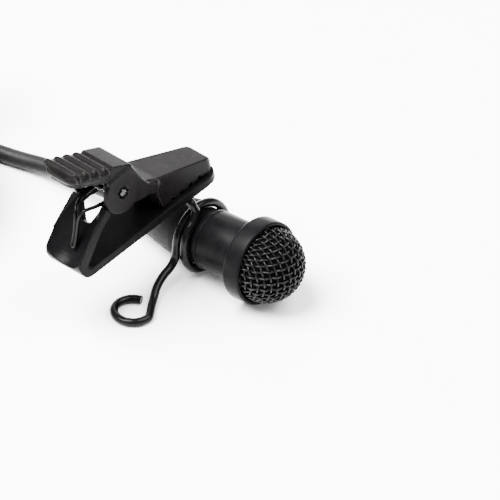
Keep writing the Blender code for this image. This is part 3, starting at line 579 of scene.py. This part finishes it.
def tail_route():
    """From the coil's top layer round and up into the plug, which lies across the coil."""
    bend_y = PLUG_START - 1.0
    top = COIL_TOP - CABLE_R
    points = [(TAIL_X, COIL_Y - 1.5, top), (TAIL_X, COIL_Y - COIL_CLEARANCE, top - 0.1),
              (TAIL_X, COIL_Y - COIL_CLEARANCE - 4.5, top - 0.05), (TAIL_X, bend_y + 2.0, top)]
    bend_steps = 6
    for i in range(bend_steps + 1):
        a, part = math.pi * i / bend_steps, i / bend_steps
        height = top + (PLUG_Z - top) * part * part * (3 - 2 * part)
        points.append((TAIL_X + BEND_R * (1 - math.cos(a)), bend_y - BEND_R * math.sin(a), height))
    points += [(PLUG_X, PLUG_START - 0.1, PLUG_Z), (PLUG_X, PLUG_START + 1.2, PLUG_Z)]
    return smooth_path([on_table(*p) for p in points], 1.2)


def make_cable():
    points = lead_route() + coil_route() + tail_route()
    length = sum((b - a).length for a, b in zip(points, points[1:]))
    curve = bpy.data.curves.new("cable", "CURVE")
    curve.dimensions = "3D"
    curve.bevel_depth = CABLE_R * MM
    curve.bevel_resolution = 6
    curve.use_fill_caps = True
    spline = curve.splines.new("POLY")
    spline.points.add(len(points) - 1)
    for spot, point in zip(spline.points, points):
        spot.co = (*point, 1.0)
    spline.use_smooth = True
    cable = finished(link(bpy.data.objects.new("cable", curve)), "microphone", "cable_jacket",
                     "cable_lead", "cable_coil", "cable_tail")
    return cable, points[0], length


def table_frame(x, y, z, turn):
    return Matrix.Translation(on_table(x, y, z)) @ Matrix.Rotation(math.radians(turn), 4, "Z")


def make_tie():
    """A flat strap round the coil's bundle, with its outer edges thinned."""
    angle = math.radians(330)
    half_thick, half_width, corner_r = 0.13, 1.6, 0.9
    radial = Vector((math.cos(angle), math.sin(angle), 0))
    across = radial.cross(Vector((0, 0, 1)))
    inner = COIL_MEAN_R - COIL_TURNS_WIDE / 2 * TURN_PITCH - 0.30
    outer = COIL_MEAN_R + COIL_TURNS_WIDE / 2 * TURN_PITCH + 0.12
    low, top = half_thick + 0.04, COIL_TOP + 0.12
    corners = (inner, low), (outer, low), (outer, top), (inner, top)
    loop = rounded([(x, y, corner_r) for x, y in corners], 6)
    middle = len(loop) // 2
    loop = loop[middle:] + loop[:middle]
    section = [(half_thick, side) for side in (-1, -0.5, 0.5, 1)] + [(-half_thick, 1), (-half_thick, -1)]
    shape = bmesh.new()
    rows = []
    centre = on_table(COIL_X, COIL_Y, 0)
    for i, (x, y) in enumerate(loop + [loop[0]]):
        before, after = Vector(loop[i - 1]), Vector(loop[(i + 1) % len(loop)])
        normal = Vector(((after - before).y, -(after - before).x)).normalized()
        row = []
        for offset, side in section:
            edge = 0.6 if abs(side) == 1 and offset > 0 else 1.0
            p = Vector((x, y)) + normal * offset * edge
            place = radial * p.x + Vector((0, 0, p.y)) + across * side * half_width
            row.append(shape.verts.new(centre + place * MM))
        rows.append(row)
    for a, b in zip(rows, rows[1:]):
        for k in range(len(a)):
            shape.faces.new((a[k], a[(k + 1) % len(a)], b[(k + 1) % len(a)], b[k]))
    bmesh.ops.remove_doubles(shape, verts=shape.verts, dist=1e-6)
    bmesh.ops.recalc_face_normals(shape, faces=shape.faces)
    return finished(mesh_object("strap", shape), "microphone", "cable_jacket", "cable_tie")


def make_plug_relief(matrix):
    """The ribbed relief on the cable, thicker towards the plug."""
    bore = CABLE_R + 0.12
    outline = [(0.0, bore, 0.1), (0.0, 1.42, 0.2)]
    for i in range(4):
        start = 1.2 + 1.7 * i
        r = 1.52 + 0.12 * i
        outline += [(start, r, 0.1), (start + 0.15, r - 0.28, 0.1), (start + 0.6, r - 0.26, 0.1),
                    (start + 0.75, r + 0.06, 0.1)]
    outline += [(8.4, 2.05, 0.1), (8.4, 1.0, 0.1), (2.0, bore, 0.1)]
    finished(lathe("jack_relief", rounded(outline, 3), matrix, 64), "microphone", "rubber",
             "plug_strain_relief")


def make_plug_shell(matrix):
    """The shell, knurled between two grooves."""
    groove_r, knurl_r = PLUG_R - 0.15, PLUG_R - 0.02
    knurl_from, knurl_to, ridges, ridge_height = 12.5, 21.1, 36, 0.05
    outline = [(8.5, 1.0, 0.05), (8.5, 2.28, 0.3), (9.2, 2.9, 0.4), (10.0, PLUG_R, 0.3), (12.0, PLUG_R, 0.1),
               (12.15, groove_r, 0.05), (12.4, groove_r, 0.05), (12.55, knurl_r, 0.05),
               (21.0, knurl_r, 0.05), (21.15, groove_r, 0.05), (21.4, groove_r, 0.05),
               (21.55, PLUG_R, 0.1), (24.0, PLUG_R, 0.3), (24.8, 2.9, 0.2), (24.8, 1.85, 0.05),
               (9.8, 1.85, 0.05), (9.8, 1.0, 0.05)]

    def knurl(back, angle):
        return ridge_height * math.cos(angle * ridges) if knurl_from < back < knurl_to else 0.0
    finished(lathe("jack_shell", rounded(outline, 3), matrix, 288, knurl), "microphone", "black_metal",
             "plug_shell")


def make_plug_contacts(matrix):
    """The plated sleeve, ring and tip, with an insulating band between each two."""
    contact_r, inner_r = 1.75, 0.95
    sleeve = [(22.0, 1.0, 0), (22.0, 1.78, 0), (24.9, 1.78, 0), (24.9, 2.55, 0.15), (25.7, 2.55, 0.15),
              (25.7, contact_r, 0), (32.0, contact_r, 0.08), (32.0, 1.0, 0)]
    ring = [(32.90, inner_r, 0), (32.90, contact_r, 0.08), (35.20, contact_r, 0.08), (35.20, inner_r, 0)]
    tip = [(22.0, 0.0, 0), (22.0, 0.85, 0), (36.10, 0.85, 0), (36.10, contact_r, 0.08),
           (37.2, contact_r, 0.3), (37.9, 1.15, 0.3), (38.5, 1.35, 0.4), (39.6, 0.55, 0.3), (39.9, 0.0, 0)]
    for name, outline, node in (("jack_sleeve", sleeve, "plug_sleeve"), ("jack_ring", ring, "plug_ring"),
                                ("jack_tip", tip, "plug_tip")):
        finished(lathe(name, rounded(outline, 5), matrix, 64), "microphone", "brass", node)
    band_width, band_r = 0.8, 1.72
    for name, start, node in (("jack_band_rear", 32.05, "plug_rear_insulator"),
                              ("jack_band_front", 35.25, "plug_front_insulator")):
        end = start + band_width
        band = [(start, inner_r), (start, band_r), (end, band_r), (end, inner_r)]
        finished(lathe(name, band, matrix, 64), "microphone", "insulator", node)


def make_plug():
    """A stereo jack, which lies across the coil."""
    matrix = table_frame(PLUG_X, PLUG_START, PLUG_Z, -90)
    make_plug_relief(matrix)
    make_plug_shell(matrix)
    make_plug_contacts(matrix)


# --- microphone -----------------------------------------------------------------


def weave_crossings():
    """Crossings of a woven sheet drawn over a ball, as unit vectors. Wires keep their spacing.

    Two wires cross at the pole. Every other crossing is the mirror image of the one before
    last, across the plane through its two nearer neighbours.
    """
    step = WEAVE_PITCH / WEAVE_R
    crossings = {}
    for i in range(-WEAVE_REACH, WEAVE_REACH + 1):
        crossings[i, 0] = Vector((math.cos(i * step), math.sin(i * step), 0))
        crossings[0, i] = Vector((math.cos(i * step), 0, math.sin(i * step)))
    for si in (1, -1):
        for sj in (1, -1):
            for i in range(1, WEAVE_REACH + 1):
                for j in range(1, WEAVE_REACH + 1):
                    a, b = crossings[si * (i - 1), sj * j], crossings[si * i, sj * (j - 1)]
                    before = crossings[si * (i - 1), sj * (j - 1)]
                    normal = a.cross(b).normalized()
                    crossings[si * i, sj * j] = before - normal * 2 * before.dot(normal)
    return crossings


def span_in_ring(run):
    """A wire's first and last crossings, each one past the weave's end, or None if it is too short."""
    middle = len(run) // 2
    first = last = middle
    while first > 0 and run[first - 1].x > WEAVE_LOWEST:
        first -= 1
    while last < len(run) - 1 and run[last + 1].x > WEAVE_LOWEST:
        last += 1
    if run[middle].x <= WEAVE_LOWEST or last - first < 2:
        return None
    return max(first - 1, 0), min(last + 1, len(run) - 1)


def woven_path(knots, sign):
    """One wire's points through its crossings, over the first if sign is 1 and under it if -1."""
    steps_each = 6
    lift = WEAVE_WIRE / 2 * 0.98             # crossing wires press 2 percent into each other
    turn = Matrix.Rotation(WEAVE_TURN, 3, "X")
    ends = with_ends(knots)
    points = []
    for n in range(len(knots) - 1):
        for k in range(steps_each):
            part = k / steps_each
            way = curve_point(*ends[n:n + 4], part).normalized()
            if way.x > WEAVE_LOWEST:
                wave = math.cos(math.pi * (n + part)) * sign * lift
                points.append(MIC @ (turn @ way * (WEAVE_R + wave) * MM))
    return points


def make_windscreen():
    """Two families of wires, woven over and under each other across the dome."""
    crossings = weave_crossings()
    places = range(-WEAVE_REACH, WEAVE_REACH + 1)
    shape = bmesh.new()
    for family in (0, 1):
        for i in places:
            run = [crossings[(i, j) if family == 0 else (j, i)] for j in places]
            span = span_in_ring(run)
            if span is None:
                continue
            first, last = span
            points = woven_path(run[first:last + 1], 1 if (i + first + family) % 2 == 0 else -1)
            if len(points) > 4:
                tube(shape, points, WEAVE_WIRE / 2 * MM, 8)
    screen = mesh_object("woven_windscreen", shape)
    return finished(screen, "microphone", "black_mesh", "windscreen_mesh")


def make_shells():
    """The windscreen's ring, the body and the rear cap, which plug into one another."""
    seam = 0.05
    seat_back, seat_r = 1.62, 3.05
    spigot_front, spigot_r, body_bore_r = 1.35, 3.00, 2.62
    insert_front, insert_r, neck_bore_r = 5.9, 2.57, 1.95
    ring = [(0.0, RING_BORE_R, 0.08), (0.0, RING_R, 0.20), (RING_LENGTH, RING_R, 0.35),
            (RING_LENGTH, seat_r, 0), (seat_back, seat_r, 0), (seat_back, RING_BORE_R, 0)]
    finished(lathe("front_ring", rounded(ring, 6), MIC), "microphone", "black_metal", "grille_ring")
    front = RING_LENGTH + seam
    body = [(spigot_front, body_bore_r, 0), (spigot_front, spigot_r, 0), (front, spigot_r, 0),
            (front, BODY_R, 0.10), (BODY_END, BODY_R, 0.08), (BODY_END, body_bore_r, 0)]
    finished(lathe("body_shell", rounded(body, 5), MIC), "microphone", "black_metal", "housing")
    cap_front = BODY_END + seam
    cap = [(insert_front, neck_bore_r, 0), (insert_front, insert_r, 0), (cap_front, insert_r, 0),
           (cap_front, BODY_R, 0.09), (LIP_END, BODY_R, 0.16), (LIP_END, NECK_R, 0.10),
           (NECK_END, NECK_R, 0.05), (NECK_END, neck_bore_r, 0)]
    finished(lathe("rear_shell", rounded(cap, 5), MIC), "microphone", "black_metal", "rear_cap")


def make_boot():
    """The rubber strain relief: smooth in front, ribbed towards the cable."""
    start = NECK_END + 0.05
    boot = [(start, 1.0, 0), (start, BOOT_R, 0.22), (11.2, BOOT_R - 0.02, 0.6), (11.9, 3.26, 0.5),
            (13.8, 2.91, 1.0), (15.2, 2.62, 0.2)]
    for groove, r in ((15.2, 2.58), (16.7, 2.25), (18.2, 1.95), (19.7, 1.70)):
        boot += [(groove + 0.12, r - 0.34, 0.10), (groove + 0.42, r - 0.36, 0.10),
                 (groove + 0.52, r - 0.04, 0.14), (groove + 1.46, r - 0.22, 0.14)]
    boot += [(BOOT_END - 0.7, BOOT_TIP_R - 0.06, 0.15), (BOOT_END, BOOT_TIP_R - 0.10, 0.15),
             (BOOT_END, CABLE_R + 0.03, 0)]
    return finished(lathe("cable_boot", rounded(boot, 4), MIC), "microphone", "rubber", "strain_relief")


# --- holder and clip --------------------------------------------------------------


def on_post(forward, height):
    """A point in the plane of the holder's post, from the swivel's own point."""
    return CLIP @ (Vector((forward, 0, height)) * MM)


def table_up(back):
    """Where the table is in the microphone frame, below the axis at "back"."""
    return -RING_R + (back - RING_LENGTH) * math.tan(TILT)


def make_holder():
    """One wire: the post, a run under the plate, the turns round the neck and the finger loop."""
    bend_r = 0.75
    run = -(HOLDER_WIRE / 2 + 0.18)          # the run's height, under the clip's plate
    front = SWIVEL_BACK - HOLDER_FIRST_TURN - 0.15
    corner = bend_r * (1 - math.cos(math.radians(45)))
    post_top, post_middle = 1.66 - 0.2, 1.0
    post = [on_post(0, post_top), on_post(0, post_middle), on_post(0, run + bend_r),
            on_post(corner, run + corner), on_post(bend_r, run), on_post(front - bend_r, run),
            on_post(front - corner, run - corner), on_post(front, run - bend_r)]
    route = [*post, in_mic(HOLDER_FIRST_TURN + 0.05, 1.36, 4.12)]
    start, steps = 32.0, 28                  # degrees round the neck from the top, and steps in the turns
    sweep = 448.0 - start
    flat_until = 80                          # up to this angle the wire stays at one place along the neck
    for i in range(steps + 1):
        angle = start + sweep * i / steps
        a = math.radians(angle)
        back = HOLDER_FIRST_TURN + HOLDER_PITCH * max(0.0, angle - flat_until) / 360
        route.append(in_mic(back, HOLDER_COIL_R * math.sin(a), HOLDER_COIL_R * math.cos(a)))
    tail = [(9.78, 3.86, -1.00), (9.78, 4.60, -1.80), (9.70, 5.95, -2.22), (9.40, 7.35, -2.75),
            (8.90, 8.45, -3.32), (8.30, 9.50, table_up(8.30) + HOLDER_WIRE / 2 + 0.08)]
    route += [in_mic(*p) for p in tail]
    loop_steps, loop_start, loop_step = 18, 190, 14.7
    for i in range(loop_steps + 1):
        a = math.radians(loop_start - loop_step * i)
        back = LOOP_BACK + LOOP_R * math.cos(a)
        out = LOOP_OUT + LOOP_R * math.sin(a)
        route.append(in_mic(back, out, table_up(back) + HOLDER_WIRE / 2))
    wire = wire_object("holder_wire", smooth_path(route, 0.22), HOLDER_WIRE, 20)
    finished(wire, "wire_holder", "black_wire", "wire_holder")


def make_swivel_cap():
    """The pressed cap that keeps the post in the clip's plate."""
    cap_r, bore_r, top, bottom = 1.05, HOLDER_WIRE / 2 + 0.04, -0.62, -0.06
    cap = [(top, bore_r, 0.05), (top, cap_r, 0.30), (bottom, cap_r, 0.06), (bottom, bore_r, 0.02)]
    matrix = CLIP @ Matrix.Translation((0, 0, 1.0 * MM)) @ Matrix.Rotation(math.radians(-90), 4, "Y")
    finished(lathe("post_cap", rounded(cap, 4), matrix, 48), "wire_holder", "steel", "swivel_cap")


def moulded_copy(name, node, edge, voxel, rounds, cutters=(), bars=()):
    """A fine copy of a CAD node's mesh, with its edges rounded as a mould leaves them.

    Each of "bars" is a line of points and a radius, and its round bar melts into the piece.
    """
    shape = bmesh.new()
    shape.from_mesh(frame["nodes"][node].data)
    bmesh.ops.remove_doubles(shape, verts=shape.verts, dist=2e-6)
    bmesh.ops.dissolve_limit(shape, angle_limit=math.radians(0.5), verts=shape.verts, edges=shape.edges)
    piece = mesh_object(name, shape)
    bevel = piece.modifiers.new("bevel", "BEVEL")
    bevel.width = edge * MM
    bevel.segments = 3
    bevel.limit_method = "ANGLE"
    bevel.angle_limit = math.radians(35)
    for i, cutter in enumerate(cutters):
        cut = piece.modifiers.new(f"cut_{i}", "BOOLEAN")
        cut.operation = "DIFFERENCE"
        cut.object = cutter
    keep_modifiers(piece)
    if bars:
        shape = bmesh.new()
        shape.from_mesh(piece.data)
        for points, radius in bars:
            tube(shape, smooth_path(points, 0.2), radius * MM, 16, round_ends=True)
        shape.to_mesh(piece.data)
        shape.free()
    piece.data.transform(Matrix.Scale(1 / MM, 4))        # to millimetres, the unit of "voxel"
    remesh = piece.modifiers.new("remesh", "REMESH")
    remesh.mode = "VOXEL"
    remesh.voxel_size = voxel
    relax = piece.modifiers.new("relax", "SMOOTH")
    relax.factor = 0.5
    relax.iterations = rounds
    thin = piece.modifiers.new("thin", "DECIMATE")
    thin.ratio = 0.3
    keep_modifiers(piece)
    piece.data.transform(Matrix.Scale(MM, 4))
    for cutter in cutters:
        bpy.data.objects.remove(cutter)
    piece.data.shade_smooth()
    return piece


def across_clip(out, up):
    """A frame on a line across the clip: a turned piece's "back" runs across it from its middle."""
    return CLIP @ Matrix.Translation(at(0, out - SWIVEL_OUT, up - SWIVEL_UP))


def pad_bars():
    """The thumb pad's ribs, which wrap over its sides, and the thick lip round its end."""
    near, far = SWIVEL_BACK - CLIP_WIDTH / 2 + 0.20, SWIVEL_BACK + CLIP_WIDTH / 2 - 0.20
    rib_count, rib_r = 4, 0.27
    half_rib = [(0.02, -0.75), (0.04, -0.30), (0.32, 0.0), (0.9, 0.02)]
    bars = []
    for i in range(rib_count):
        out, up = 11.36 + 1.25 * i, 17.02 + 0.62 * i
        half = [(near + along, out, up + lift) for along, lift in half_rib]
        other = [(far - along, out, up + lift) for along, lift in half_rib[::-1]]
        bars.append(([in_clip(*p) for p in half + other], rib_r))
    upper_lip = [(0.55, 11.6, 16.35), (0.52, 13.0, 17.05), (0.55, 14.3, 17.75), (0.95, 15.15, 18.15),
                 (1.6, 15.36, 18.25)]
    lower_lip = [(0.75, 13.2, 16.75), (0.78, 14.4, 17.2), (1.1, 15.1, 17.5), (1.7, 15.3, 17.6)]
    for line, radius in ((upper_lip, 0.70), (lower_lip, 0.62)):
        half = [(near + along, out, up) for along, out, up in line]
        other = [(far - along, out, up) for along, out, up in line[::-1]]
        bars.append(([in_clip(*p) for p in half + other], radius))
    return bars


def jagged(_, angle):
    """The ragged rim of a staked hole, added to its radius."""
    return 0.06 * math.cos(7 * angle) + 0.04 * math.cos(11 * angle + 1)


def pin_recesses(pin_line, ear_face):
    """A shallow cutter at each end of the pin."""
    cutters = []
    for side in (-1, 1):
        start, end = side * (ear_face - 0.30), side * (ear_face + 0.5)
        recess = [(start, 0.0), (start, 0.66), (end, 0.80), (end, 0.0)]
        cutters.append(lathe(f"recess_{side}", recess, pin_line, 42, jagged))
    return cutters


def make_clip():
    """The bent plate, the finger lever with its jaw and the pin through both."""
    base = moulded_copy("clip_frame", "clip_base", edge=0.22, voxel=0.075, rounds=3)
    finished(base, "clip_base", "black_metal", "clip_base")
    pin_line = across_clip(PIN_OUT, PIN_UP)
    ear_face = CLIP_WIDTH / 2 + 0.05
    lever = moulded_copy("clip_jaw", "clip_lever", edge=0.30, voxel=0.07, rounds=9,
                         cutters=pin_recesses(pin_line, ear_face), bars=pad_bars())
    finished(lever, "clip_lever", "black_plastic", "clip_lever")
    reach, head, head_r = ear_face + 0.04, 0.3, PIN_R + 0.02
    pin = [(-reach, 0.0, 0), (-reach, head_r, 0.20), (-reach + head, PIN_R, 0), (reach - head, PIN_R, 0),
           (reach, head_r, 0.20), (reach, 0.0, 0)]
    finished(lathe("hinge_pin", rounded(pin, 5), pin_line, 40), "clip_base", "steel", "pivot_pin")


def make_spring():
    """A double torsion spring. Its hairpin lies against the finger wall and its legs run along the lever."""
    coil_r = PIN_R + 0.12 + 0.225            # the pin, the gap round it and half of the CAD model's wire
    pitch, first_along = 0.48, 0.33
    first, last = 123.0, 271.1 + 720.0       # degrees: the last includes two whole turns
    steps = 60
    half = [(13.35, 15.95, 0.36), (11.6, 14.75, 0.34)]
    for i in range(steps + 1):
        angle = first + (last - first) * i / steps
        a = math.radians(angle)
        half.append((PIN_OUT + coil_r * math.cos(a), PIN_UP + coil_r * math.sin(a),
                     first_along + pitch * (angle - first) / 360))
    half += [(11.4, 12.34, 1.42), (12.8, 12.42, 1.22), (13.85, 12.40, 0.74), (14.45, 12.05, 0.42),
             (14.85, 11.30, 0.25), (15.27, 10.20, 0.22), (15.78, 9.05, 0.22)]
    bend = [(16.02, 8.62, 0.20), (16.10, 8.46, 0.0), (16.02, 8.62, -0.20)]
    near = [in_clip(SWIVEL_BACK - along, out, up) for out, up, along in half]
    far = [in_clip(SWIVEL_BACK + along, out, up) for out, up, along in half]
    tip = [in_clip(SWIVEL_BACK - along, out, up) for out, up, along in bend]
    spring = wire_object("hairpin_spring", smooth_path([*near, *tip, *far[::-1]], 0.12), SPRING_WIRE, 12)
    spring.data.materials.append(MATERIALS["black_wire"])
    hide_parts("torsion_spring")
    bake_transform(spring)


# --- assembly ---------------------------------------------------------------------

target = make_camera()
dress_cad_nodes()
cable, cable_exit, cable_length = make_cable()
strap = make_tie()
make_plug()
make_stage()
make_lights(target)
make_windscreen()
make_shells()
make_boot()
make_holder()
make_swivel_cap()
make_clip()
make_spring()
